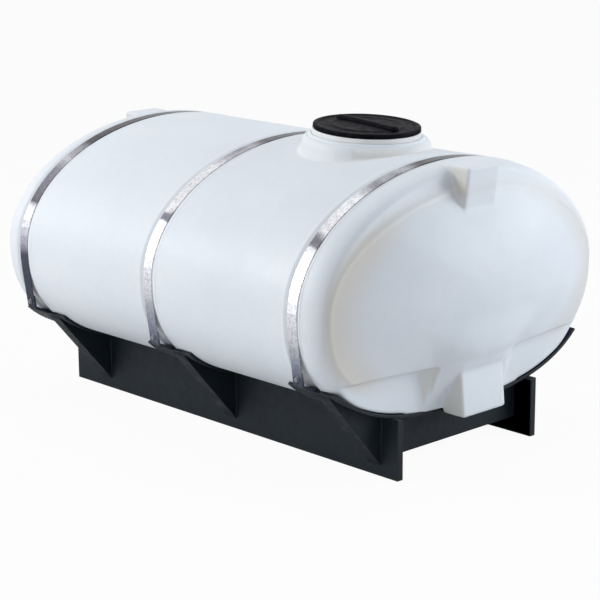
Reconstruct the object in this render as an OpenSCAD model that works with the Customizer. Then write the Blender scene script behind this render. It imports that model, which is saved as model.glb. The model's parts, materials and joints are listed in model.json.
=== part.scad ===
// Elliptical storage tank: a moulded oval tank strapped down on a welded steel skid.
// Millimetres, +Z up. +X runs along the tank towards the manway end, called the front,
// and left is +Y. The origin is on the floor, midway between the rails and under the
// middle band.

/* [Tank] */
// Overall width of the tank
tank_w = 1625; // [1600:5:1650]
// Height of the top of the tank above the floor
tank_top = 1201; // [1190:1:1210]
// Height of the widest level above the floor
waist_z = 700; // [690:5:710]
// Height of the lowest point of the belly above the floor
belly_z = 225; // [222:1:228]
// Fullness of the upper half of the oval, where 2 is an ellipse
crown_n = 1.98; // [1.96:0.01:2.04]
// Fullness of the lower half of the oval, where 2 is an ellipse
belly_n = 2.5; // [2.4:0.01:2.6]
// Half length of the straight barrel
barrel_half = 890; // [889:1:895]
// Wall thickness of the moulded shell
wall = 12; // [10:1:14]
// Depth of the channels that the bands lie in
groove_d = 5; // [4:1:7]
// Width of the channels that the bands lie in
groove_w = 84; // [70:2:100]

/* [Heads] */
// Depth of the rolled shoulder at each end
roll_d = 96; // [92:1:100]
// Distance that the shoulder rolls in from the tank's side
roll_side = 25; // [22:1:30]
// Distance that the shoulder rolls in from the tank's top
roll_top = 24; // [22:1:30]
// Distance that the shoulder rolls in from the belly
roll_low = 72; // [60:1:80]
// Depth of the crease between the shoulder and the dish
crease_d = 6; // [4:1:8]
// Distance of the dished end inside the tank's side
dish_side = 66; // [60:1:72]
// Distance of the dished end below the tank's top
dish_top = 105; // [98:1:112]
// Distance of the dished end above the belly
dish_low = 84; // [82:1:92]
// Depth of the dished end
dish_h = 165; // [150:5:180]
// Flatness of the upper half of the dish, where 0.5 is a half ellipse
dish_flat = 0.75; // [0.6:0.05:0.9]
// How much flatter the dish is above the corner pockets
dish_slack = 0.5; // [0.4:0.05:0.6]
// Distance that the foot of an end falls back
low_fall = 10; // [6:1:14]
// Reach of the top block on the front end from the middle band
front_reach = 1074; // [1068:1:1085]
// Reach of the top block on the rear end from the middle band
rear_reach = 1030; // [1020:1:1085]
// Extra reach of the low block beyond the top block
low_extra = 23; // [0:1:30]
// Width of the block at the top of each end
top_block_w = 178; // [140:2:200]
// Width of the block at the bottom of each end
low_block_w = 250; // [220:2:270]
// Height of the ceiling of the corner pockets
pocket_z = 430; // [410:5:450]
// Half width of the column left between the corner pockets
pocket_y = 215; // [200:2:240]
// How far the column swells forward over the dish
column_d = 70; // [50:5:80]

/* [Manway] */
// Distance of the manway from the middle band
manway_x = 436; // [420:1:460]
// Radius of the opening
manway_bore = 203; // [190:1:208]
// Radius of the foot of the moulded collar
collar_r = 266; // [258:1:275]
// Height of the top of the collar
collar_top = 1248; // [1244:1:1254]
// Height of the rim above the collar
rim_h = 22; // [16:1:28]
// Radius of the lid
lid_r = 221; // [216:1:228]
// Lean of the manway towards the front end
manway_lean = 3.5; // [0:0.5:5]

/* [Bands] */
// Spacing of the hold-down bands
band_pitch = 846; // [840:1:850]
// Width of a band
band_w = 50; // [40:1:60]
// Thickness of a band
band_t = 4; // [3:1:4]

/* [Skid] */
// Length of a rail
rail_len = 2030; // [2000:10:2060]
// Distance over the outer faces of the rails
rail_gauge = 827; // [815:2:840]
// Height of a rail
rail_h = 250; // [246:1:250]
// Width of the flanges of a rail
rail_flange = 30; // [22:1:32]
// Width of a saddle along the tank
saddle_w = 268; // [260:2:276]
// Thickness of a saddle
saddle_t = 12; // [10:1:14]
// Distance of each cross frame forward of its band
frame_off = 80; // [70:5:100]
// Depth of the flanges of the cross frames and outriggers
frame_w = 70; // [60:5:80]
// Height of the bottom edge of a cross frame
frame_z = 70; // [60:5:90]
// Thickness of the frame plates
plate_t = 8; // [6:1:10]

/* [Hidden] */
step = 4;
half_w = tank_w / 2;
crown_h = tank_top - waist_z;
belly_h = waist_z - belly_z;
saddle_end = 34;
band_leave = 7;
ring_x = barrel_half + roll_d;
rail_y = rail_gauge / 2;
flare_h = 50;
lid_h = 30;
gusset_y = 690;
gusset_z = 45;
leg_len = 184;
tab_len = 52;
stud_r = 5;

// Signed power, for the superellipse
function spow(v, e) = sign(v) * pow(abs(v), e);

// Point of an oval at angle t, with its own side, top and bottom insets
function oval_point(t, side, top, low) =
  let (n = sin(t) >= 0 ? crown_n : belly_n)
  let (rise = sin(t) >= 0 ? crown_h - top : belly_h - low)
  [(half_w - side) * spow(cos(t), 2 / n), waist_z + rise * spow(sin(t), 2 / n)];

// Point of the tank's oval moved in by inset
function oval(t, inset) = oval_point(t, inset, inset, inset);
function ring(inset) = [for (t = [0:step:360 - step]) oval(t, inset)];
function under(inset) =
  [for (t = [180 + saddle_end:step:360 - saddle_end]) oval(t, inset)];
function flip(list) = [for (i = [len(list) - 1:-1:0]) list[i]];
function mirror_y(list) = [for (p = list) [-p.x, p.y]];

// Where a band leaves the tank's left side, and the way it runs on from there
leave = oval(-band_leave, groove_d);
way = (oval(-band_leave - 0.1, groove_d) - leave) / norm(oval(-band_leave - 0.1, groove_d) - leave);
out = [-way.y, way.x];
function leg(along, away) = leave + along * way + away * out;

// Extrudes an outline in the Y-Z plane from x0 over a length
module along_x(x0, length) {
  translate([x0, 0, 0])
    rotate([90, 0, 90]) linear_extrude(length) children();
}

// Solid bar with the oval section
module oval_bar(x0, length, inset) {
  along_x(x0, length) polygon(ring(inset));
}

// Box given by its lowest and highest corners
module span(low, high) {
  translate(low) cube(high - low);
}

// Moulded barrel with the three band channels and the manway opening
module tank_barrel() {
  color("#dfe4ea")
    difference() {
      oval_bar(-barrel_half, 2 * barrel_half, 0);
      oval_bar(-barrel_half - 1, 2 * barrel_half + 2, wall + groove_d);
      for (xb = [-band_pitch, 0, band_pitch])
        difference() {
          oval_bar(xb - groove_w / 2, groove_w, -10);
          oval_bar(xb - groove_w / 2 - 1, groove_w + 2, groove_d);
          span([xb - groove_w, -half_w, 0], [xb + groove_w, half_w, oval(-saddle_end, 0).y]);
        }
      translate([manway_x, 0, waist_z])
        cylinder(h = 2 * crown_h, r = manway_bore, $fn = 72);
    }
}

// Share from 0 to 1 of the way that v has come from a to b
function share(v, a, b) = min(1, max(0, (v - a) / (b - a)));

// How the foot of an end differs at angle t: the distance that it falls back, the share of
// the shoulder's roll that is left above the pockets, and the flatness of the dish
function fall(t) = low_fall * pow(max(0, -sin(t)), 3);
function rolled(t) = 1 - 0.9 * share(-sin(t), 0.47, 0.64);
function flatness(t) = dish_flat + dish_slack * share(-sin(t), 0, 0.7);

// Swelling of the column between the pockets, at a point of the end
function column(p) = let (half = pocket_y + 85 - 40 * share(p.y, 300, 430))
  column_d * pow(1 - pow(min(1, abs(p.x) / half), 6), 2)
  * share(p.y, belly_z - 20, belly_z + 50) * pow(cos(90 * share(p.y, 370, 720)), 2);

// Ring on the rolled shoulder at angle a
function roll_ring(a, inset) =
  let (u = 1 - cos(a))
  [for (t = [0:step:360 - step])
    let (v = u * rolled(t), p = oval_point(t, inset + (roll_side - inset) * v,
      inset + (roll_top - inset) * v, inset + (roll_low - inset) * v))
    [barrel_half + (roll_d - fall(t) - inset) * sin(a), p.x, p.y]];

// Ring at the bottom of the crease
function crease_ring(inset) =
  [for (t = [0:step:360 - step])
    let (v = rolled(t), p = oval_point(t, 26 + roll_side * v, roll_top + 10, 8 + roll_low * v))
    [ring_x - fall(t) - inset - crease_d * v + column(p), p.x, p.y]];

// Ring on the dish at a share s of the way out from its middle
function dish_ring(s, inset) =
  [for (t = [0:step:360 - step])
    let (o = oval_point(t, dish_side + inset, dish_top + inset, dish_low + inset))
    let (p = [s * o.x, waist_z + s * (o.y - waist_z)])
    [ring_x - s * s * fall(t) - inset + dish_h * pow(1 - s * s, flatness(t)) + column(p),
      p.x, p.y]];

// Closed solid of one end, from inside the barrel to the crown of the dish
module end_solid(inset) {
  n = 360 / step;
  pts = concat(
    [for (p = ring(inset)) [barrel_half, p.x, p.y]],
    [for (a = [18:18:90]) each roll_ring(a, inset)],
    crease_ring(inset),
    [for (s = [1, 0.97, 0.92, 0.84, 0.72, 0.56, 0.36, 0.16]) each dish_ring(s, inset)],
    [[ring_x - inset + dish_h, 0, waist_z]]
  );
  rows = (len(pts) - 1) / n;
  side = [for (r = [0:rows - 2]) for (i = [0:n - 1])
    let (j = (i + 1) % n, a = r * n, b = a + n)
    each [[a + i, b + i, b + j], [a + i, b + j, a + j]]];
  back = [[for (i = [0:n - 1]) i]];
  crown = [for (i = [0:n - 1]) [(rows - 1) * n + i, rows * n, (rows - 1) * n + (i + 1) % n]];
  polyhedron(points = pts, faces = concat(side, back, crown));
}

// Block across the middle of an end, with its own reach at its bottom z0 and top z1
module end_block(width, x0, z0, z1, low_reach, high_reach) {
  translate([0, width / 2, 0])
    rotate([90, 0, 0]) linear_extrude(width)
      polygon([[x0, z0], [low_reach, z0], [high_reach, z1], [x0, z1]]);
}

// Blocks moulded at the top and bottom of an end
module end_blocks(reach) {
  end_block(top_block_w, ring_x - 30, waist_z + 200, tank_top - 4, reach - 36, reach);
  end_block(low_block_w, band_pitch + saddle_w / 2 + 6, belly_z - 15, pocket_z - 20,
    reach + low_extra, reach + low_extra - 20);
}

// Corner pockets, open forwards and downwards, with a drafted inner wall
module pockets(inset) {
  back = ring_x - 10 - inset;
  outline = [[back, pocket_y + 85 - inset], [back + 85, pocket_y - inset],
    [ring_x + 300, pocket_y - inset], [ring_x + 300, half_w], [back, half_w]];
  for (side = [0, 1])
    mirror([0, side, 0])
      linear_extrude(pocket_z + inset) polygon(outline);
}

// Dished end with its blocks and pockets, facing +X
module head(reach) {
  color("#dfe4ea")
    difference() {
      union() {
        difference() {
          end_solid(0);
          pockets(0);
        }
        end_blocks(reach);
      }
      difference() {
        translate([-1, 0, 0]) end_solid(wall + groove_d);
        pockets(wall);
      }
    }
}
module front_head() { head(front_reach); }
module rear_head() { mirror([1, 0, 0]) head(rear_reach); }

// Places its children on the manway's axis, with z = 0 at the top of the collar
module on_manway() {
  translate([manway_x, 0, collar_top]) rotate([0, manway_lean, 0]) children();
}

// Moulded collar, with a convex flare up to the rim
module manway_collar() {
  flare = [for (a = [0:15:90])
    [lid_r + 6 + (collar_r - lid_r - 6) * cos(a), flare_h * (sin(a) - 1)]];
  color("#e4e8ec")
    difference() {
      on_manway()
        rotate_extrude($fn = 96)
          polygon(concat([[manway_bore, -190], [collar_r, -190]], flare, [[manway_bore, 0]]));
      oval_bar(manway_x - 300, 600, 0);
    }
}

// Rim that the lid closes on
module manway_rim() {
  color("#f2f3f2")
    on_manway()
      rotate_extrude($fn = 96)
        polygon([[manway_bore, 0], [lid_r + 3, 0], [lid_r + 5, 4], [lid_r + 5, rim_h - 4],
          [lid_r + 2, rim_h], [manway_bore, rim_h]]);
}

// Lid with a rolled edge, a raised centre and a grip bar
module manway_lid() {
  color("#17181b")
    on_manway() translate([0, 0, rim_h]) {
      rotate_extrude($fn = 96)
        polygon([[0, 4], [lid_r - 40, 4], [lid_r - 40, 0], [lid_r - 2, 0], [lid_r, 3],
          [lid_r, 14], [lid_r - 4, 18], [lid_r - 22, 20], [lid_r - 30, 16], [lid_r - 60, 16],
          [lid_r - 70, 20], [0, 24]]);
      span([-150, -13, 12], [150, 13, lid_h]);
    }
}

// Places its children on a band's bolt on the left, with +Z pointing outwards
module on_bolt(xb) {
  p = leg(leg_len - tab_len / 2, 0);
  translate([xb, p.x, p.y])
    rotate([atan2(-out.x, out.y), 0, 0]) children();
}
module bolt_hole(xb) {
  on_bolt(xb)
    translate([0, 0, -20]) cylinder(h = 40, r = stud_r + 0.5, $fn = 24);
}

// Hold-down band, round the tank and straight down to its clip on each side
module band(xb) {
  ends = [leg(leg_len, 0), leg(leg_len, band_t)];
  sweep = 180 + 2 * band_leave;
  function lap(inset) =
    [for (i = [0:45]) oval(-band_leave + sweep * i / 45, inset)];
  color("#aeb2bb")
    difference() {
      along_x(xb - band_w / 2, band_w)
        polygon(concat([ends[1]], lap(groove_d - band_t), [mirror_y(ends)[1]],
          [mirror_y(ends)[0]], flip(lap(groove_d)), [ends[0]]));
      for (side = [0, 1])
        mirror([0, side, 0]) bolt_hole(xb);
    }
}
module rear_band() { band(-band_pitch); }
module middle_band() { band(0); }
module front_band() { band(band_pitch); }

// Bolt that ties one side of a band to its clip, with its head outside
module band_bolt(xb, side) {
  color("#8d9096")
    mirror([0, side, 0])
      on_bolt(xb) {
        translate([0, 0, -22]) cylinder(h = 24 + band_t, r = stud_r, $fn = 24);
        translate([0, 0, band_t]) cylinder(h = 2, r = 11, $fn = 32);
        translate([0, 0, band_t + 2]) cylinder(h = 7, r = 9, $fn = 6);
        translate([0, 0, -14]) cylinder(h = 8, r = 9, $fn = 6);
      }
}
module rear_left_band_bolt() { band_bolt(-band_pitch, 0); }
module rear_right_band_bolt() { band_bolt(-band_pitch, 1); }
module middle_left_band_bolt() { band_bolt(0, 0); }
module middle_right_band_bolt() { band_bolt(0, 1); }
module front_left_band_bolt() { band_bolt(band_pitch, 0); }
module front_right_band_bolt() { band_bolt(band_pitch, 1); }

// Bent clip from the tip of the saddle up behind the end of a band
module band_clip(xb, side) {
  outline = [oval(-saddle_end, 0), oval(-saddle_end, -saddle_t), leg(leg_len + 8, 0),
    leg(leg_len - tab_len, 0), leg(leg_len - tab_len, -6), leg(leg_len, -6)];
  color("#8d92a0")
    mirror([0, side, 0])
      difference() {
        along_x(xb - band_w / 2, band_w) polygon(outline);
        bolt_hole(xb);
      }
}
module rear_left_band_clip() { band_clip(-band_pitch, 0); }
module rear_right_band_clip() { band_clip(-band_pitch, 1); }
module middle_left_band_clip() { band_clip(0, 0); }
module middle_right_band_clip() { band_clip(0, 1); }
module front_left_band_clip() { band_clip(band_pitch, 0); }
module front_right_band_clip() { band_clip(band_pitch, 1); }

// Curved saddle that the belly lies in
module saddle(xb) {
  color("#23262b")
    along_x(xb - saddle_w / 2, saddle_w)
      polygon(concat(under(-saddle_t), flip(under(0))));
}
module rear_saddle() { saddle(-band_pitch); }
module middle_saddle() { saddle(0); }
module front_saddle() { saddle(band_pitch); }

// Frame plate across the skid under a saddle, flanged along its bottom
module cross_frame(xb) {
  x1 = xb + frame_off;
  y1 = rail_y - plate_t;
  color("#202328")
    difference() {
      union() {
        span([x1 - plate_t, -y1, frame_z], [x1, y1, rail_h + 10]);
        span([x1 - frame_w, -y1, frame_z], [x1, y1, frame_z + plate_t]);
      }
      oval_bar(x1 - frame_w, frame_w + 1, -saddle_t);
      for (side = [0, 1])
        mirror([0, side, 0])
          span([x1 - frame_w, rail_y - rail_flange, rail_h - plate_t], [x1 + 1, rail_y, rail_h + 11]);
    }
}
module rear_cross_frame() { cross_frame(-band_pitch); }
module middle_cross_frame() { cross_frame(0); }
module front_cross_frame() { cross_frame(band_pitch); }

// Triangular outrigger from a rail up to the tip of a saddle, flanged along its slope.
// The right ones stand ahead of the band and the left ones behind it.
module outrigger(xb, side) {
  top = oval(-saddle_end - step, -saddle_t).y;
  rise = plate_t / cos(atan((top - gusset_z) / (gusset_y - rail_y)));
  color("#1b1e22")
    difference() {
      translate([xb, 0, 0])
        mirror([1 - side, 0, 0]) mirror([0, side, 0]) {
          along_x(frame_off - plate_t, plate_t)
            polygon([[rail_y, gusset_z], [gusset_y, top], [rail_y, top]]);
          along_x(frame_off - frame_w, frame_w)
            polygon([[rail_y, gusset_z], [gusset_y, top], [gusset_y, top + rise],
              [rail_y, gusset_z + rise]]);
        }
      oval_bar(xb - frame_off - frame_w, 2 * (frame_off + frame_w), -saddle_t);
    }
}
module rear_left_outrigger() { outrigger(-band_pitch, 0); }
module rear_right_outrigger() { outrigger(-band_pitch, 1); }
module middle_left_outrigger() { outrigger(0, 0); }
module middle_right_outrigger() { outrigger(0, 1); }
module front_left_outrigger() { outrigger(band_pitch, 0); }
module front_right_outrigger() { outrigger(band_pitch, 1); }

// Formed rail with its flanges and end returns turned inwards
module rail(side) {
  color("#262a31")
    mirror([0, side, 0])
      difference() {
        span([-rail_len / 2, rail_y - rail_flange, 0], [rail_len / 2, rail_y, rail_h]);
        span([plate_t - rail_len / 2, rail_y - rail_flange - 1, plate_t],
          [rail_len / 2 - plate_t, rail_y - plate_t, rail_h - plate_t]);
        oval_bar(-rail_len, 2 * rail_len, -saddle_t);
      }
}
module left_rail() { rail(0); }
module right_rail() { rail(1); }

tank_barrel();
front_head();
rear_head();
manway_collar();
manway_rim();
manway_lid();
rear_band();
middle_band();
front_band();
rear_left_band_bolt();
rear_right_band_bolt();
middle_left_band_bolt();
middle_right_band_bolt();
front_left_band_bolt();
front_right_band_bolt();
rear_left_band_clip();
rear_right_band_clip();
middle_left_band_clip();
middle_right_band_clip();
front_left_band_clip();
front_right_band_clip();
rear_saddle();
middle_saddle();
front_saddle();
rear_cross_frame();
middle_cross_frame();
front_cross_frame();
rear_left_outrigger();
rear_right_outrigger();
middle_left_outrigger();
middle_right_outrigger();
front_left_outrigger();
front_right_outrigger();
left_rail();
right_rail();
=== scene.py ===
"""Elliptical storage tank on a skid: looks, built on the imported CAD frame. Metres, +Z up.

The moulded tank is one shell in life, so its CAD nodes are replaced by smooth skins that
follow the same formulas. The lid and the skid's plates are replaced by finer pieces too. The
rim, the bands, the bolts and the clips keep their CAD shape and only get their finish here.
"""
import json
import math
import random

import bmesh
import bpy
import numpy as np
from mathutils import Matrix, Vector


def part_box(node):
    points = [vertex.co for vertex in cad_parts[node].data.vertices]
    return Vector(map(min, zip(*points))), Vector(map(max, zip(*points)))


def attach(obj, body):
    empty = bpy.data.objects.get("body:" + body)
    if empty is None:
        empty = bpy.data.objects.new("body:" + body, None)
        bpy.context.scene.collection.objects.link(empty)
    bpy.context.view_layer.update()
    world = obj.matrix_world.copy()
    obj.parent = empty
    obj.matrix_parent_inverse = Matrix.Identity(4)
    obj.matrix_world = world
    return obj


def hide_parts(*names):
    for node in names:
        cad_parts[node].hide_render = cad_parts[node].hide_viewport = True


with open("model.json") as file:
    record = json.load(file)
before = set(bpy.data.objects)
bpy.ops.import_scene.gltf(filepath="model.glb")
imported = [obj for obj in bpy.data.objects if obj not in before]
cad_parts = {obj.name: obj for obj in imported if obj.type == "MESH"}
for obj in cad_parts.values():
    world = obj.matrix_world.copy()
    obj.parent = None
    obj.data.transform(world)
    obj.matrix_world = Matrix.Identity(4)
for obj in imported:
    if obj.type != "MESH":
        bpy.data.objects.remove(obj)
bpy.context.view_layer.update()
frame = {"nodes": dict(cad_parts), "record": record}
MM = 0.001
MATERIALS = {}  # by slot, filled by dress()


def box_mm(node):
    """Lowest and highest corners of a CAD node, in millimetres."""
    low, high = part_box(node)
    return np.array(low) * 1000, np.array(high) * 1000


# ---------------------------------------------------------------- sizes, in millimetres
# Oval section: a superellipse with one power above the waist and another below it
BARREL_LOW, BARREL_HIGH = box_mm("tank_barrel")
HALF_W = BARREL_HIGH[1]
BARREL_HALF = BARREL_HIGH[0]
TOP = BARREL_HIGH[2]
BELLY = BARREL_LOW[2]
WAIST = 700.0
CROWN_N = 1.98
BELLY_N = 2.5
CROWN_H = TOP - WAIST
BELLY_H = WAIST - BELLY
WALL = 10.0

# Rolled shoulder of an end, which loses most of its roll between the two foot shares
ROLL_D = 96.0
ROLL_SIDE = 45.0
ROLL_LOW = 72.0
ROLL_LEAST = 9.0
ROLL_LOSS = 0.9
FOOT_START = 0.35
FOOT_END = 0.8
LOW_FALL = 10.0
RING_X = BARREL_HALF + ROLL_D

# Dish inside the shoulder's ring: insets from the oval, height, power of its curve, and the
# crease round it, whose fillet tightens between two heights near the foot
DISH_SIDE = 66.0
DISH_TOP = 105.0
DISH_LOW = 84.0
DISH_H = 165.0
DISH_FLAT = 0.75
DISH_SLACK = 0.58
DISH_FLANK = 0.25
DISH_RIM = 0.003
CREASE_FILLET = 60.0
CREASE_FOOT_FILLET = 8.0
CREASE_FOOT_Z = (330, 440)
RIM_INSET = 4.0
RIM_FILLET = 10.0

# Corner pockets, the column between them, and the dish's swelling above it
POCKET_Z = 430.0
POCKET_Y = 215.0
POCKET_BACK = RING_X - 10
POCKET_DRAFT = 0.3
POCKET_DRAFT_Z = 253.0
POCKET_SPLAY = 31.0
POCKET_SPLAY_LEAST = 7.0
POCKET_TURN_IN = 1.4
COLUMN_OUT = 92.0
COLUMN_FOOT_Z = 245.0
COLUMN_MID_Z = 397.0
COLUMN_LEAN = 0.6
COLUMN_FLAT = 110.0
COLUMN_HALF = 330.0
COLUMN_FLANK = 60.0
COLUMN_FLANK_W = 120.0
COLUMN_FADE = 40.0
COLUMN_FILLET = 16.0
SWELL_H = 48.0
SWELL_HALF = 265.0
SWELL_SPREAD = 300.0
SWELL_WIDE_Z = 760.0
SWELL_END_Z = 640.0

# Blocks at the top and the foot of an end
BLOCK_EDGE = 12.0
TOP_BLOCK_W = 178.0
TOP_BLOCK_LEAN = 36.0
TOP_BLOCK_FILLET = 10.0
LOW_BLOCK_W = 250.0
LOW_BLOCK_LEAN = 20.0
LOW_BLOCK_FILLET = 8.0
LOW_EXTRA = 23.0
FRONT_REACH = 1074.0
REAR_REACH = 1030.0

# Bands, and their channels, which are deeper on the lower half
BANDS = ("rear", "middle", "front")
BAND_X = [(box_mm(n + "_band")[0][0] + box_mm(n + "_band")[1][0]) / 2 for n in BANDS]
GROOVE_D = 5.0
GROOVE_W = 84.0
GROOVE_WALL = 14.0
GROOVE_LOW_EXTRA = 5.0
RIDGE_H = 2.2
RIDGE_W = 5.0
SADDLE_SIN = math.sin(math.radians(34))

# Manway, which leans towards the front
RIM_LOW, RIM_HIGH = box_mm("manway_rim")
MANWAY_X = (RIM_LOW[0] + RIM_HIGH[0]) / 2
LEAN = math.radians(3.5)
COLLAR_TOP = 1248.0
COLLAR_R = 266.0
COLLAR_FOOT_R = COLLAR_R + 66
LID_R = 221.0
BORE = 203.0

# Grid cell of the heads' skins, and steps round the barrel, the collar and the lid
CELL = 7.0
BARREL_TURNS = 288
COLLAR_TURNS = 240
LID_TURNS = 360


# ---------------------------------------------------------------- small maths helpers
def smin(a, b, k):
    """Smooth minimum with a fillet of about k."""
    h = np.clip(0.5 + 0.5 * (b - a) / k, 0, 1)
    return b + (a - b) * h - k * h * (1 - h)


def smax(a, b, k):
    """Smooth maximum with a fillet of about k."""
    return -smin(-a, -b, k)


def share(v, a, b):
    """Share from 0 to 1 of the way that v has come from a to b."""
    return np.clip((v - a) / (b - a), 0, 1)


def ease(v, a, b):
    """The same share, starting and ending gently."""
    h = share(v, a, b)
    return h * h * (3 - 2 * h)


def hump(v, mid, spread):
    """Bell curve of height 1 at mid."""
    return np.exp(-((v - mid) / spread) ** 2)


def differences(field, p, step):
    """Differences of a field over twice the step along each axis, at points p."""
    return np.stack([field(p + e) - field(p - e) for e in np.eye(3) * step], -1)


def oval_share(y, z, side, top, low):
    """Share of the way out to an oval, its gradient's length, and -sin of its angle."""
    up = z >= WAIST
    n = np.where(up, CROWN_N, BELLY_N)
    b = np.where(up, CROWN_H - top, BELLY_H - low)
    a = HALF_W - side
    u = np.abs(y) / a
    v = np.abs(z - WAIST) / b
    s = np.maximum((u ** n + v ** n) ** (1 / n), 1e-4)
    grad = s ** (1 - n) * np.sqrt((u ** (n - 1) / a) ** 2 + (v ** (n - 1) / b) ** 2)
    low_sin = np.where(up, 0, (v / s) ** (n / 2))
    return s, np.maximum(grad, 1e-5), low_sin


def oval_points(t, inset):
    """Points of the tank's oval at angles t, moved in by inset."""
    up = np.sin(t) >= 0
    n = np.where(up, CROWN_N, BELLY_N)
    rise = np.where(up, CROWN_H, BELLY_H) - inset
    y = (HALF_W - inset) * np.sign(np.cos(t)) * np.abs(np.cos(t)) ** (2 / n)
    z = WAIST + rise * np.sign(np.sin(t)) * np.abs(np.sin(t)) ** (2 / n)
    return y, z


# ---------------------------------------------------------------- the moulded end
def shoulder(x, y, z):
    """Signed distance to the rolled shoulder and the flat ring that it ends in."""
    s, grad, low = oval_share(y, z, 0, 0, 0)
    depth = (1 - s) / grad
    reach = ROLL_D - LOW_FALL * low ** 3
    left = 1 - ROLL_LOSS * ease(low, FOOT_START, FOOT_END)
    roll = ROLL_SIDE + (ROLL_LOW - ROLL_SIDE) * low * left
    roll = np.maximum(roll * np.where(low > 0, left, 1), ROLL_LEAST)
    side = np.maximum(roll - depth, 0) / roll
    ahead = np.maximum(x - BARREL_HALF, 0) / reach
    g = np.maximum(np.sqrt(side ** 2 + ahead ** 2), 1e-4)
    slope = np.sqrt((side / (g * roll)) ** 2 + (ahead / (g * reach)) ** 2)
    return np.where(g > 0.02, (g - 1) / np.maximum(slope, 1e-4), -roll)


def dish_field(x, y, z):
    """Signed distances to the face of the dish, and to its rim."""
    s, grad, low = oval_share(y, z, DISH_SIDE, DISH_TOP, DISH_LOW)
    power = DISH_FLAT + DISH_SLACK * ease(low, 0, FOOT_END)
    power = power + DISH_FLANK * ease(np.abs(y) / ((HALF_W - DISH_SIDE) * s), 0.6, 1)
    left = np.maximum(1 - s * s, 0)
    rise = DISH_H * (left + DISH_RIM) ** power
    steep = 2 * s * DISH_H * power * (left + DISH_RIM) ** (power - 1) * grad
    half = SWELL_HALF + SWELL_SPREAD * ease(z, POCKET_Z, SWELL_WIDE_Z)
    swell = (SWELL_H * (1 - np.minimum(np.abs(y) / half, 1) ** 3) ** 2
             * (1 - ease(z, POCKET_Z + 20, SWELL_END_Z)))
    height = RING_X - np.minimum(s * s, 1) * LOW_FALL * low ** 3 + rise + swell
    return (x - height) / np.sqrt(1 + steep ** 2), (s - 1) / grad


def column(x, y, z):
    """Signed distance to the column that stands between the pockets and fades into the dish."""
    face = RING_X + COLUMN_OUT + COLUMN_LEAN * (z - COLUMN_MID_Z)
    flank = COLUMN_FLANK * share(z, COLUMN_FOOT_Z, POCKET_Z - 8)
    past_flat = np.maximum(np.abs(y) - COLUMN_FLAT, 0) / COLUMN_FLANK_W
    front = smax((x - face + flank * past_flat ** 1.5) * 0.8, np.abs(y) - COLUMN_HALF, 10)
    return smax(front, z - POCKET_Z - 10, COLUMN_FADE)


def block(x, y, z, width, x0, z0, z1, low_reach, high_reach):
    """Signed distance to a block with a leaning face and rounded edges."""
    face = x - (low_reach + (high_reach - low_reach) * (z - z0) / (z1 - z0))
    d = smax(np.abs(y) - width / 2, face, BLOCK_EDGE)
    d = smax(d, np.maximum(z - z1, z0 - z), BLOCK_EDGE)
    return smax(d, x0 - x, BLOCK_EDGE / 2)


def pocket(x, y, z):
    """Signed distance to the corner pockets, which have a drafted inner wall."""
    foot = POCKET_Y + POCKET_SPLAY + POCKET_DRAFT * (z - POCKET_DRAFT_Z)
    foot = np.maximum(foot - POCKET_TURN_IN * np.maximum(x - POCKET_BACK, 0),
                      POCKET_Y + POCKET_SPLAY_LEAST)
    wall = foot - np.abs(y)
    d = smax(wall * 0.58, POCKET_BACK - x, 12)
    return smax(d, z - POCKET_Z, 5)


def end_field(p, reach):
    """Signed distance to a whole moulded end facing +X, at points p."""
    x, y, z = p[..., 0], p[..., 1], p[..., 2]
    s, grad, _ = oval_share(y, z, 0, 0, 0)
    inside = (s - 1) / grad + RIM_INSET
    dish = smax(smax(*dish_field(x, y, z), RIM_FILLET), inside, RIM_FILLET)
    foot_z, full_z = CREASE_FOOT_Z
    fillet = CREASE_FILLET - (CREASE_FILLET - CREASE_FOOT_FILLET) * share(z, full_z, foot_z)
    body = smin(shoulder(x, y, z), dish, fillet)
    body = smin(body, smax(column(x, y, z), inside, RIM_FILLET), COLUMN_FILLET)
    body = smax(body, -pocket(x, y, z), 7)
    top = block(x, y, z, TOP_BLOCK_W, RING_X - 40, WAIST + 200, TOP - 4,
                reach - TOP_BLOCK_LEAN, reach)
    low = block(x, y, z, LOW_BLOCK_W, RING_X, BELLY - 15, POCKET_Z - 20,
                reach + LOW_EXTRA, reach + LOW_EXTRA - LOW_BLOCK_LEAN)
    return smin(smin(body, top, TOP_BLOCK_FILLET), low, LOW_BLOCK_FILLET)


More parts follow.
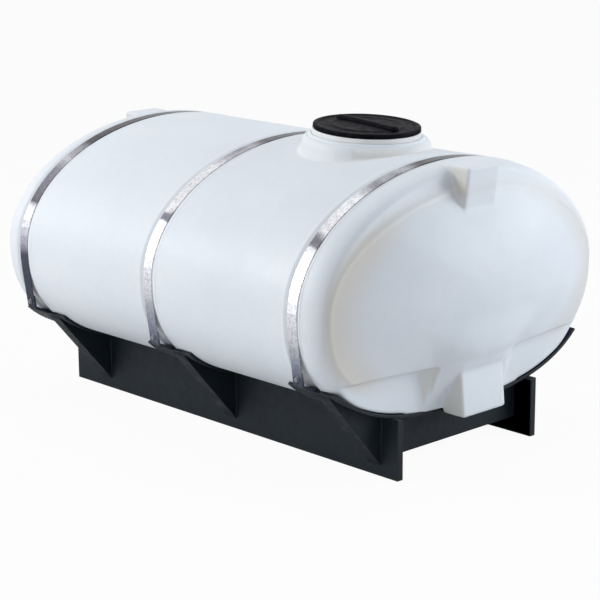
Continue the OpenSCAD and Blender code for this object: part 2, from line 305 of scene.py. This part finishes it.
def surface_net(field, low, high, cell):
    """Vertices, quads and cells of the surface where field is 0, in a grid of cubes."""
    n = np.ceil((np.array(high) - low) / cell).astype(int) + 1
    axes = [low[i] + cell * np.arange(n[i]) for i in range(3)]
    grid = np.stack(np.meshgrid(*axes, indexing="ij"), -1)
    value = field(grid)
    total = np.zeros(tuple(n - 1) + (3,))
    count = np.zeros(tuple(n - 1))
    corners = [(i, j, k) for i in (0, 1) for j in (0, 1) for k in (0, 1)]

    def at(c):
        return value[c[0]:n[0] - 1 + c[0], c[1]:n[1] - 1 + c[1], c[2]:n[2] - 1 + c[2]]

    # A cell's vertex is the mean of the points where its edges cross the surface
    for a in corners:
        for axis in range(3):
            if a[axis]:
                continue
            b = tuple(c + (i == axis) for i, c in enumerate(a))
            va, vb = at(a), at(b)
            cross = (va < 0) != (vb < 0)
            f = np.where(cross, va / np.where(va == vb, 1, va - vb), 0)
            for i in range(3):
                total[..., i] += np.where(cross, a[i] + (f if i == axis else 0), 0)
            count += cross
    used = count > 0
    index = -np.ones(used.shape, int)
    index[used] = np.arange(used.sum())
    cells = np.argwhere(used)
    points = low + cell * (cells + total[used] / count[used][:, None])

    # A grid edge that crosses the surface gives a quad of the four cells around it
    quads = []
    for axis in range(3):
        u, v = (axis + 1) % 3, (axis + 2) % 3
        a = value[tuple(slice(0, -1) if i == axis else slice(None) for i in range(3))]
        b = value[tuple(slice(1, None) if i == axis else slice(None) for i in range(3))]
        edges = np.argwhere((a < 0) != (b < 0))
        edges = edges[(edges[:, u] > 0) & (edges[:, v] > 0)
                      & (edges[:, u] < n[u] - 1) & (edges[:, v] < n[v] - 1)]
        ring = []
        for du, dv in ((0, 0), (1, 0), (1, 1), (0, 1)):
            c = edges.copy()
            c[:, u] -= du
            c[:, v] -= dv
            ring.append(index[c[:, 0], c[:, 1], c[:, 2]])
        ring = np.stack(ring, 1)
        inward = a[edges[:, 0], edges[:, 1], edges[:, 2]] > 0
        ring[inward] = ring[inward][:, ::-1]
        quads.append(ring)
    return points, np.concatenate(quads), cells


def settle(field, points, rounds=4, longest=6):
    """Moves points onto the surface along its gradient, in rounds of a limited step."""
    for _ in range(rounds):
        grad = differences(field, points, 0.5)
        size = np.maximum((grad ** 2).sum(-1), 0.05)
        step = np.clip(field(points) / size, -longest, longest)
        points = points - step[:, None] * grad
    return points


def add_object(name, data):
    """New object in the scene."""
    obj = bpy.data.objects.new(name, data)
    bpy.context.scene.collection.objects.link(obj)
    return obj


def make_piece(name, points, faces, slot, nodes=()):
    """New piece from points in millimetres, riding on the frame, with its slot's material."""
    mesh = bpy.data.meshes.new(name)
    mesh.from_pydata((np.asarray(points) * MM).tolist(), [], [list(map(int, f)) for f in faces])
    mesh.validate()
    mesh.polygons.foreach_set("use_smooth", [True] * len(mesh.polygons))
    mesh.update()
    mesh.materials.append(MATERIALS[slot])
    obj = add_object(name, mesh)
    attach(obj, "root")
    if nodes:
        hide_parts(*nodes)
    return obj


def make_skin(name, points, faces, node, painted_shade):
    """Moulded skin in the place of a CAD node, with its painted shade and its wall, inwards."""
    obj = make_piece(name, points, faces, "tank_plastic", [node])
    # The painted shade, from 0 to 1, rides on the mesh as a point attribute
    layer = obj.data.attributes.new("painted_shade", "FLOAT", "POINT")
    layer.data.foreach_set("value", np.asarray(painted_shade, dtype=np.float32))
    wall = obj.modifiers.new("wall", "SOLIDIFY")
    wall.thickness = WALL * MM
    wall.offset = -1
    wall.use_even_offset = False


def painted_end_shade(p, field):
    """From 0 to 1, the painted shade of a point: how deep it lies in the crease or on a side wall
    that faces sideways.
    """
    x, y, z = p[:, 0], p[:, 1], p[:, 2]
    s, grad, _ = oval_share(y, z, DISH_SIDE, DISH_TOP, DISH_LOW)

    # Painted shade in the crease: strongest at the sides, fading towards the foot, and weaker at
    # +Y, where more light falls
    beyond = (s - 1) / grad - 10
    side = ease(np.abs(y), 250, 700)
    spread = np.where(beyond > 0, 30, 26 + 85 * side)
    crease_shade = np.exp(-(beyond / spread) ** 2) * ease(z, 330, 460) * np.minimum(0.3 + 0.9 * side, 1)
    crease_shade = crease_shade * (0.55 + 0.45 * ease(-y, -200, 200))

    # Painted shade on the side walls of the blocks, the column and the pockets, which face
    # sideways
    grad = differences(field, p, 2.0)
    sideways = np.abs(grad[:, 1]) / np.sqrt((grad ** 2).sum(-1) + 1e-9)
    features = ((x > RING_X - 22) & (np.abs(y) < COLUMN_HALF)
                & ((z > WAIST + 260) | (z < POCKET_Z)))
    flank = np.where(z > WAIST, ease(sideways, 0.7, 0.9), ease(sideways, 0.42, 0.62))
    return np.clip(np.where(features, 0.7 * flank, 0) + 0.95 * crease_shade, 0, 1)


def build_head(node, sign, reach):
    """Smooth skin of one moulded end, facing +X or, with sign -1, -X."""
    margin = 9

    def field(p):
        return end_field(p, reach)

    low = np.array([BARREL_HALF - CELL / 2, -HALF_W - margin, BELLY - 3 * margin])
    high = np.array([RING_X + DISH_H + margin, HALF_W + margin, TOP + margin])
    points, quads, cells = surface_net(field, low, high, CELL)
    points = settle(field, points)
    # The first row of cells becomes the open edge, on the barrel's oval
    first = cells[:, 0] == 0
    s, _, _ = oval_share(points[:, 1], points[:, 2], 0, 0, 0)
    points[first, 0] = BARREL_HALF
    points[first, 1] /= s[first]
    points[first, 2] = WAIST + (points[first, 2] - WAIST) / s[first]
    painted_shade = painted_end_shade(points, field)
    if sign < 0:
        points = points * np.array([-1, 1, 1])
        quads = quads[:, ::-1]
    make_skin(node + "_skin", points, quads, node, painted_shade)


# ---------------------------------------------------------------- the moulded barrel
def channel_depth(x, t):
    """Depth of the band channels, less the ridges beside them. Both end at the saddle."""
    low = np.clip(-np.sin(t), 0, 1)
    depth = np.zeros_like(x)
    for xb in BAND_X:
        off = np.abs(x - xb)
        floor = 1 - ease(off, GROOVE_W / 2 - GROOVE_WALL, GROOVE_W / 2)
        depth = depth + floor * (GROOVE_D + GROOVE_LOW_EXTRA * ease(low, 0.1, 0.5))
        depth = depth - RIDGE_H * hump(off, GROOVE_W / 2 + RIDGE_W, RIDGE_W)
    return depth * (1 - ease(low, SADDLE_SIN + 0.02, SADDLE_SIN + 0.2))


def barrel_stations():
    """Stations along the barrel, close together at the channels' walls."""
    stations = set(np.linspace(-BARREL_HALF, BARREL_HALF, 61).round(3))
    offsets = (0, 16, 28, 31, 32.5, 34, 35.5, 37, 38.5, 40, 41.5, 43, 45, 47, 49, 52, 56, 62)
    for xb in BAND_X:
        for off in offsets:
            for side in (-1, 1):
                x = round(xb + side * off, 3)
                if abs(x) <= BARREL_HALF:
                    stations.add(x)
    return np.array(sorted(stations))


def build_barrel():
    """Skin of the barrel, with its channels, open at the manway."""
    stations = barrel_stations()
    turns = BARREL_TURNS
    t = np.linspace(0, 2 * math.pi, turns, endpoint=False)
    x, t = np.meshgrid(stations, t, indexing="ij")
    depth = channel_depth(x, t)
    y, z = oval_points(t, depth)
    points = np.stack([x, y, z], -1).reshape(-1, 3)
    i, j = np.meshgrid(np.arange(len(stations) - 1), np.arange(turns), indexing="ij")
    i, j = i.ravel(), j.ravel()
    k = (j + 1) % turns
    quads = np.stack([i * turns + j, i * turns + k,
                      (i + 1) * turns + k, (i + 1) * turns + j], 1)
    centre = points[quads].mean(1)
    hole = (np.hypot(centre[:, 0] - MANWAY_X, centre[:, 1]) < BORE + 10) & (centre[:, 2] > WAIST)
    used, flat = np.unique(quads[~hole], return_inverse=True)
    # Painted shade in the band channels, by their depth
    painted_shade = 0.35 * share(depth, 1, 5).ravel()
    make_skin("barrel_skin", points[used], flat.reshape(-1, 4), "tank_barrel", painted_shade[used])


def build_collar():
    """Skin of the manway collar, filleted into the barrel."""
    turns = COLLAR_TURNS
    radii = np.concatenate([[BORE, BORE + 8], np.linspace(LID_R - 4, COLLAR_R, 32),
                            np.linspace(COLLAR_R + 3, COLLAR_FOOT_R, 20)])
    r, a = np.meshgrid(radii, np.linspace(0, 2 * math.pi, turns, endpoint=False), indexing="ij")
    x = MANWAY_X + r * np.cos(a)
    y = r * np.sin(a)
    crown = WAIST + CROWN_H * (1 - (np.abs(y) / HALF_W) ** CROWN_N) ** (1 / CROWN_N)

    # Rounded shoulder that falls away past the collar's radius, leaning with the manway
    round_h, fall = 50, 3
    out = share(r, LID_R + 6, COLLAR_R)
    top = COLLAR_TOP - round_h * (1 - np.sqrt(1 - out ** 2 * 0.995))
    top = top - np.maximum(r - COLLAR_R, 0) * fall - np.tan(LEAN) * (x - MANWAY_X)

    # Bead and groove outside the lid's edge, and the flat panel between +X and -Y
    bead_h, groove_d, panel_d = 4, 5, 8
    top = top + bead_h * hump(r, LID_R + 11, 5) - groove_d * hump(r, LID_R + 21, 4)
    turn = np.degrees((a + math.pi) % (2 * math.pi) - math.pi)
    panel = share(turn, -60, -56) * (1 - ease(turn, -20, 12)) * ease(r, LID_R + 20, LID_R + 28)
    panel = panel * (1 - ease(r, COLLAR_R, COLLAR_R + 12))
    top = top - panel_d * panel

    z = smax(top, crown, 26) - 1.5 * share(r, COLLAR_R + 45, COLLAR_FOOT_R)
    points = np.stack([x, y, z], -1).reshape(-1, 3)
    faces = [(i * turns + j, (i + 1) * turns + j, (i + 1) * turns + (j + 1) % turns,
              i * turns + (j + 1) % turns) for i in range(len(radii) - 1) for j in range(turns)]
    # Painted shade round the collar's foot and on its flat panel
    foot = 0.25 * hump(r, COLLAR_R + 4, 14)
    make_skin("collar_skin", points, faces, "manway_collar",
              np.clip(foot + 0.45 * panel, 0, 1).ravel())


# ---------------------------------------------------------------- the lid and the skid
def on_manway(points):
    """Moves points from the manway's own axes to the frame."""
    turn = np.array([[math.cos(LEAN), 0, math.sin(LEAN)], [0, 1, 0],
                     [-math.sin(LEAN), 0, math.cos(LEAN)]])
    return np.asarray(points) @ turn.T + np.array([MANWAY_X, 0, COLLAR_TOP])


def tube_faces(rows, n):
    """Faces of a closed tube whose rows have n points each, with its two ends."""
    faces = [(row * n + i, row * n + (i + 1) % n, (row + 1) * n + (i + 1) % n, (row + 1) * n + i)
             for row in range(rows - 1) for i in range(n)]
    return faces + [tuple(range(n))[::-1], tuple((rows - 1) * n + i for i in range(n))]


def build_lid():
    """Lid with ribbed edge, stepped rings and a rounded grip bar."""
    # Radius and height of the lid's rows, from its lower edge to its middle
    r = LID_R
    profile = [(r - 40, 22), (r - 5, 22), (r - 1.5, 23), (r, 26), (r, 36), (r - 1.5, 39.5),
               (r - 5, 41), (r - 18, 42), (r - 22, 41.5), (r - 25, 38.5), (r - 30, 38),
               (r - 62, 38), (r - 66, 39), (r - 69, 41), (r - 74, 42), (r - 80, 42),
               (r - 83, 41), (r - 86, 40), (90, 41), (40, 42), (8, 42.5)]
    ribbed_rows, ribs, rib_depth = (3, 4), 90, 1.6
    points = []
    for row, (radius, z) in enumerate(profile):
        for i in range(LID_TURNS):
            a = 2 * math.pi * i / LID_TURNS
            grip = rib_depth * max(0, math.cos(ribs * a)) if row in ribbed_rows else 0
            points.append(((radius - grip) * math.cos(a), (radius - grip) * math.sin(a), z))
    make_piece("lid_cover", on_manway(points), tube_faces(len(profile), LID_TURNS),
               "lid_plastic", ["manway_lid"])

    # Grip bar along X, whose section shrinks towards its foot at both ends
    foot = 36
    half_section = [(18, 36), (16, 46), (14.5, 52), (11, 55), (4, 56.2)]
    section = [(-y, z) for y, z in half_section] + half_section[::-1]
    tip = [(166, 0.55), (164, 0.8), (158, 0.96), (150, 1)]
    rows = ([(-x, size) for x, size in tip] + [(x, 1) for x in range(-140, 141, 20)]
            + tip[::-1])
    points = [(x, y * size, foot + (z - foot) * size) for x, size in rows for y, z in section]
    make_piece("lid_grip", on_manway(points), tube_faces(len(rows), len(section)), "lid_plastic")


def ease_edges(node, width=0.0016):
    """Copy of a CAD node with its edges bevelled, in the node's place. The width is in metres."""
    mesh = frame["nodes"][node].data.copy()
    work = bmesh.new()
    work.from_mesh(mesh)
    bmesh.ops.remove_doubles(work, verts=work.verts, dist=1e-5)
    bmesh.ops.dissolve_limit(work, angle_limit=math.radians(0.5), verts=work.verts,
                             edges=work.edges)
    work.to_mesh(mesh)
    work.free()
    piece = add_object(node + "_eased", mesh)
    bevel = piece.modifiers.new("ease", "BEVEL")
    bevel.width = width
    bevel.segments = 2
    bevel.limit_method = "ANGLE"
    bevel.angle_limit = math.radians(28)
    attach(piece, "root")
    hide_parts(node)


def bead(start, end, rng, radius=3.4, pitch=2.2, sides=8):
    """Weld bead along a line, as a rippled tube."""
    start, end = Vector(start), Vector(end)
    along = (end - start).normalized()
    across = along.cross(Vector((0.3, 0.5, 0.81))).normalized()
    other = along.cross(across)
    count = max(4, int((end - start).length / pitch))
    points = []
    for i in range(count + 1):
        centre = start.lerp(end, i / count)
        ripple = radius * (0.86 + 0.22 * abs(math.sin(i * 1.2)) + rng.uniform(-0.05, 0.05))
        size = ripple * (0.5 if i in (0, count) else 1)
        for j in range(sides):
            a = 2 * math.pi * j / sides
            points.append(centre + across * math.cos(a) * size + other * math.sin(a) * size)
    return points, tube_faces(count + 1, sides)


def build_welds():
    """Beads where the outriggers and cross frames meet the rails."""
    plate_off, plate_half, plate_z = 76, 4.5, (52, 238)
    frame_off, frame_z = 81, (74, 240)
    rng = random.Random(11)
    points, faces = [], []

    def weld(x, y, low, high):
        more, more_faces = bead((x, y, low), (x, y, high), rng)
        faces.extend(tuple(i + len(points) for i in face) for face in more_faces)
        points.extend(list(p) for p in more)

    for band, xb in zip(BANDS, BAND_X):
        for hand in ("left", "right"):
            low, high = box_mm("%s_%s_outrigger" % (band, hand))
            plate = xb + (plate_off if hand == "right" else -plate_off)
            y = low[1] if hand == "left" else high[1]
            for face in (-plate_half, plate_half):
                weld(plate + face, y, *plate_z)
        low, high = box_mm(band + "_cross_frame")
        for y in (low[1], high[1]):
            weld(xb + frame_off, y, *frame_z)
    make_piece("weld_beads", points, faces, "skid_paint")


# ---------------------------------------------------------------- materials
def is_socket(value):
    return hasattr(value, "is_linked")


class Shader:
    """Builds a material's nodes. A value may be a number, a colour or another node's output."""

    def __init__(self, name):
        self.mat = bpy.data.materials.new(name)
        self.mat.use_nodes = True
        self.tree = self.mat.node_tree
        self.tree.nodes.clear()
        self.out = self.add("ShaderNodeOutputMaterial")
        self.bsdf = self.add("ShaderNodeBsdfPrincipled")
        self.link(self.bsdf.outputs[0], self.out.inputs[0])
        self.place = self.add("ShaderNodeTexCoord").outputs["Object"]

    def add(self, kind, **values):
        node = self.tree.nodes.new(kind)
        for key, value in values.items():
            setattr(node, key, value)
        return node

    def link(self, a, b):
        self.tree.links.new(a, b)

    def feed(self, socket, value):
        """Links or sets one input."""
        if is_socket(value):
            self.link(value, socket)
        else:
            socket.default_value = (*value, 1) if isinstance(value, tuple) else value

    def noise(self, scale, detail=3.0, rough=0.5, stretch=None):
        node = self.add("ShaderNodeTexNoise")
        node.inputs["Scale"].default_value = scale
        node.inputs["Detail"].default_value = detail
        node.inputs["Roughness"].default_value = rough
        place = self.place
        if stretch:
            mapping = self.add("ShaderNodeMapping")
            mapping.inputs["Scale"].default_value = stretch
            self.link(place, mapping.inputs["Vector"])
            place = mapping.outputs[0]
        self.link(place, node.inputs["Vector"])
        return node.outputs["Fac"]

    def cells(self, scale):
        node = self.add("ShaderNodeTexVoronoi")
        node.inputs["Scale"].default_value = scale
        self.link(self.place, node.inputs["Vector"])
        return node

    def ramp(self, source, stops):
        """Colour ramp whose stops hold a colour or a grey."""
        node = self.add("ShaderNodeValToRGB")
        bar = node.color_ramp
        while len(bar.elements) < len(stops):
            bar.elements.new(0.5)
        for element, (at, color) in zip(bar.elements, stops):
            element.position = at
            element.color = (*color, 1) if isinstance(color, tuple) else (color, color, color, 1)
        self.link(source, node.inputs[0])
        return node.outputs[0]

    def mix(self, fac, a, b, mode="MIX"):
        node = self.add("ShaderNodeMix", data_type="RGBA", blend_type=mode)
        for index, value in ((0, fac), (6, a), (7, b)):
            self.feed(node.inputs[index], value)
        return node.outputs[2]

    def math(self, op, a, b):
        node = self.add("ShaderNodeMath", operation=op)
        for index, value in enumerate((a, b)):
            self.feed(node.inputs[index], value)
        return node.outputs[0]

    def bump(self, height, strength, distance):
        node = self.add("ShaderNodeBump")
        node.inputs["Strength"].default_value = strength
        node.inputs["Distance"].default_value = distance
        self.link(height, node.inputs["Height"])
        self.link(node.outputs[0], self.bsdf.inputs["Normal"])

    def set(self, **values):
        """Inputs of the Principled shader, with _ for a space."""
        for key, value in values.items():
            self.feed(self.bsdf.inputs[key.replace("_", " ")], value)


def tank_material():
    cool, pale = (0.74, 0.785, 0.835), (0.80, 0.835, 0.87)
    dust, shade_cream = (0.66, 0.69, 0.72), (0.66, 0.61, 0.53)
    m = Shader("tank_plastic")
    tone = m.ramp(m.noise(2.2, 4, 0.6), [(0.3, cool), (0.7, pale)])
    tone = m.mix(m.ramp(m.noise(38, 2), [(0.35, 0.0), (0.75, 0.12)]), tone, dust)
    # Painted shade: a cream tone mixed in by the skins' shade attribute, in creases, channels and
    # on side walls
    painted_shade = m.add("ShaderNodeAttribute", attribute_name="painted_shade").outputs["Fac"]
    tone = m.mix(m.math("MULTIPLY", painted_shade, 0.78), tone, shade_cream)
    m.set(Base_Color=tone, Roughness=m.ramp(m.noise(9, 3), [(0.3, 0.42), (0.7, 0.55)]))
    m.set(Specular_IOR_Level=0.34, Subsurface_Weight=0.15, Subsurface_Scale=0.03)
    m.bsdf.inputs["Subsurface Radius"].default_value = (1.0, 0.95, 0.85)
    waves = m.math("ADD", m.noise(5, 2), m.math("MULTIPLY", m.noise(60, 2), 0.06))
    m.bump(waves, 0.25, 0.004)
    return m.mat


def rim_material():
    grey, white = (0.76, 0.76, 0.75), (0.84, 0.84, 0.83)
    m = Shader("rim_plastic")
    tone = m.ramp(m.noise(14, 3), [(0.3, grey), (0.7, white)])
    m.set(Base_Color=tone, Roughness=m.ramp(m.noise(30, 2), [(0.3, 0.38), (0.7, 0.5)]))
    m.bump(m.noise(120, 2), 0.15, 0.001)
    return m.mat


def lid_material():
    black, glint_tone = (0.0025, 0.0025, 0.0045), (0.014, 0.013, 0.02)
    m = Shader("lid_plastic")
    # Painted highlights: lighter purple flecks that stand in for specular glints on the black lid
    painted_glints = m.ramp(m.noise(26, 6, 0.75), [(0.5, 0.0), (0.68, 0.5), (0.8, 0.9)])
    rough = m.ramp(m.noise(40, 4), [(0.3, 0.45), (0.7, 0.65)])
    m.set(Base_Color=m.mix(painted_glints, black, glint_tone), Roughness=rough, Specular_IOR_Level=0.04)
    m.bump(m.noise(160, 3), 0.3, 0.001)
    return m.mat


def band_material():
    """Spangled steel with painted reflections, bright and dull stretches by height. The rear band
    has its own stretches.
    """
    m = Shader("band_steel")
    split = m.add("ShaderNodeSeparateXYZ")
    m.link(m.place, split.inputs[0])
    drift = m.math("MULTIPLY", m.math("SUBTRACT", m.noise(3.5, 2), 0.5), 0.16)
    high = m.math("ADD", m.math("MULTIPLY", split.outputs["Z"], 0.8), drift)
    # Painted reflections: bright and dark stretches by height, one ramp for the rear band and one
    # for the other bands
    rear = m.ramp(high, [(0.35, (0.09, 0.10, 0.13)), (0.42, (0.36, 0.38, 0.46)),
                         (0.51, (0.80, 0.81, 0.85)), (0.745, (0.78, 0.79, 0.83)),
                         (0.755, (0.18, 0.18, 0.22)), (0.775, (0.22, 0.22, 0.26)),
                         (0.785, (0.80, 0.80, 0.83)), (0.89, (0.82, 0.82, 0.85)),
                         (0.92, (0.50, 0.50, 0.56)), (0.945, (0.05, 0.05, 0.06))])
    other_band_reflections = m.ramp(high, [(0.36, (0.05, 0.06, 0.085)), (0.53, (0.09, 0.095, 0.13)),
                           (0.57, (0.50, 0.50, 0.58)), (0.70, (0.66, 0.66, 0.72)),
                           (0.73, (0.10, 0.10, 0.12)), (0.80, (0.26, 0.26, 0.31)),
                           (0.86, (0.60, 0.59, 0.66)), (0.92, (0.05, 0.05, 0.06))])
    is_rear = m.math("LESS_THAN", split.outputs["X"], -0.4)
    spangle = m.cells(130)
    grain = m.ramp(spangle.outputs["Color"], [(0.2, 0.72), (0.5, 0.94), (0.8, 1.0)])
    tone = m.mix(1.0, m.mix(is_rear, rear, other_band_reflections), grain, "MULTIPLY")
    scratch = m.ramp(m.noise(60, 5, 0.7, (6, 1, 1)), [(0.35, 0.25), (0.6, 0.42)])
    m.set(Base_Color=tone, Metallic=0.85, Roughness=scratch)
    m.bump(m.math("ADD", spangle.outputs["Distance"], m.noise(200, 2)), 0.12, 0.001)
    return m.mat


def bolt_material():
    dark, bright = (0.20, 0.20, 0.23), (0.46, 0.46, 0.50)
    m = Shader("bolt_steel")
    tone = m.ramp(m.noise(150, 4, 0.7), [(0.35, dark), (0.7, bright)])
    rough = m.ramp(m.noise(90, 2), [(0.3, 0.3), (0.7, 0.5)])
    m.set(Base_Color=tone, Metallic=0.9, Roughness=rough)
    m.bump(m.noise(400, 2), 0.2, 0.0005)
    return m.mat


def skid_material():
    paint, dusty, bare = (0.004, 0.0085, 0.0135), (0.013, 0.020, 0.028), (0.09, 0.095, 0.10)
    m = Shader("skid_paint")
    dust = m.ramp(m.noise(7, 6, 0.7), [(0.45, 0.0), (0.75, 0.35)])
    tone = m.mix(dust, paint, dusty)
    chips = m.ramp(m.noise(55, 6, 0.8), [(0.70, 0.0), (0.73, 1.0)])
    tone = m.mix(m.math("MULTIPLY", chips, 0.5), tone, bare)
    rough = m.ramp(m.noise(22, 4), [(0.3, 0.42), (0.7, 0.62)])
    m.set(Base_Color=tone, Roughness=rough, Specular_IOR_Level=0.3)
    m.bump(m.noise(90, 4, 0.6), 0.18, 0.0015)
    return m.mat


def dress():
    """Makes the materials and gives every CAD node the one of its slot."""
    MATERIALS.update(tank_plastic=tank_material(), rim_plastic=rim_material(),
                     lid_plastic=lid_material(), band_steel=band_material(),
                     bolt_steel=bolt_material(), skid_paint=skid_material())
    for part in frame["record"]["subparts"]:
        materials = frame["nodes"][part["node"]].data.materials
        materials.clear()
        materials.append(MATERIALS[part["material_slot"]])


# ---------------------------------------------------------------- studio
def build_floor():
    """Pale floor that keeps the object's shadow and looks nearly white to the camera."""
    half = 30
    mesh = bpy.data.meshes.new("floor")
    mesh.from_pydata([(-half, -half, 0), (half, -half, 0), (half, half, 0), (-half, half, 0)],
                     [], [(0, 1, 2, 3)])
    floor = add_object("floor", mesh)
    m = Shader("floor")
    m.set(Base_Color=m.ramp(m.noise(0.5, 2), [(0.3, 0.68), (0.7, 0.72)]), Roughness=0.9)
    light = m.add("ShaderNodeEmission")
    light.inputs["Strength"].default_value = 1.0
    blend = m.add("ShaderNodeMixShader")
    path = m.add("ShaderNodeLightPath")
    m.link(m.math("MULTIPLY", path.outputs["Is Camera Ray"], 0.95), blend.inputs[0])
    m.link(m.bsdf.outputs[0], blend.inputs[1])
    m.link(light.outputs[0], blend.inputs[2])
    m.link(blend.outputs[0], m.out.inputs[0])
    floor.data.materials.append(m.mat)


def build_world():
    """Soft light from all sides, white to the camera and in reflections."""
    world = bpy.data.worlds.new("studio")
    bpy.context.scene.world = world
    world.use_nodes = True
    nodes, link = world.node_tree.nodes, world.node_tree.links.new
    nodes.clear()
    out = nodes.new("ShaderNodeOutputWorld")
    blend = nodes.new("ShaderNodeMixShader")
    backgrounds = (((0.86, 0.92, 1.0, 1), 0.35), ((1, 1, 1, 1), 1.0))
    for index, (color, strength) in enumerate(backgrounds, 1):
        background = nodes.new("ShaderNodeBackground")
        background.inputs["Color"].default_value = color
        background.inputs["Strength"].default_value = strength
        link(background.outputs[0], blend.inputs[index])
    path = nodes.new("ShaderNodeLightPath")
    seen = nodes.new("ShaderNodeMath")
    seen.operation = "MAXIMUM"
    link(path.outputs["Is Camera Ray"], seen.inputs[0])
    link(path.outputs["Is Glossy Ray"], seen.inputs[1])
    link(seen.outputs[0], blend.inputs[0])
    link(blend.outputs[0], out.inputs[0])


def lamp(name, place, aim, size, power, color):
    """Round area lamp, with its place and aim in metres and its power in watts."""
    data = bpy.data.lights.new(name, "AREA")
    data.shape = "DISK"
    data.size = size
    data.energy = power
    data.color = color
    obj = add_object(name, data)
    obj.location = place
    obj.rotation_euler = (Vector(aim) - Vector(place)).to_track_quat("-Z", "Y").to_euler()


def build_lights():
    lamp("left", (-4.5, -6.0, 4.6), (-0.5, 0, 0.7), 3.0, 322, (1.0, 1.0, 1.0))
    lamp("right", (4.8, 4.6, 2.8), (0.9, 0.2, 0.7), 4.5, 265, (0.93, 0.96, 1.0))
    lamp("low", (-3.0, -6.5, 0.9), (-0.2, 0, 0.5), 2.5, 36, (0.97, 0.98, 1.0))
    lamp("front", (3.2, -6.4, 1.6), (0.9, -0.3, 0.5), 2.0, 48, (1.0, 1.0, 1.0))
    lamp("top", (-0.5, 0.5, 6.0), (-0.3, 0, 0.7), 3.0, 65, (1.0, 1.0, 1.0))


def build_camera():
    """Camera at the photograph's viewing angle, solved against the CAD model."""
    place = (5.80273, -5.47165, 2.47424)
    turn, down, roll = math.radians(46.50), math.radians(14.09), math.radians(-0.34)
    data = bpy.data.cameras.new("camera")
    data.sensor_width = 36
    data.lens = 113.87
    data.clip_end = 100
    camera = add_object("camera", data)
    camera.matrix_world = (Matrix.Translation(place) @ Matrix.Rotation(turn, 4, "Z")
                           @ Matrix.Rotation(math.radians(90) - down, 4, "X")
                           @ Matrix.Rotation(roll, 4, "Z"))
    bpy.context.scene.camera = camera


def main():
    bpy.context.scene.view_settings.view_transform = "Standard"
    build_camera()
    dress()
    build_barrel()
    build_collar()
    build_head("front_head", 1, FRONT_REACH)
    build_head("rear_head", -1, REAR_REACH)
    build_lid()
    build_welds()
    for node in frame["nodes"]:
        if node.endswith(("saddle", "cross_frame", "outrigger", "rail")):
            ease_edges(node)
    build_floor()
    build_world()
    build_lights()


main()
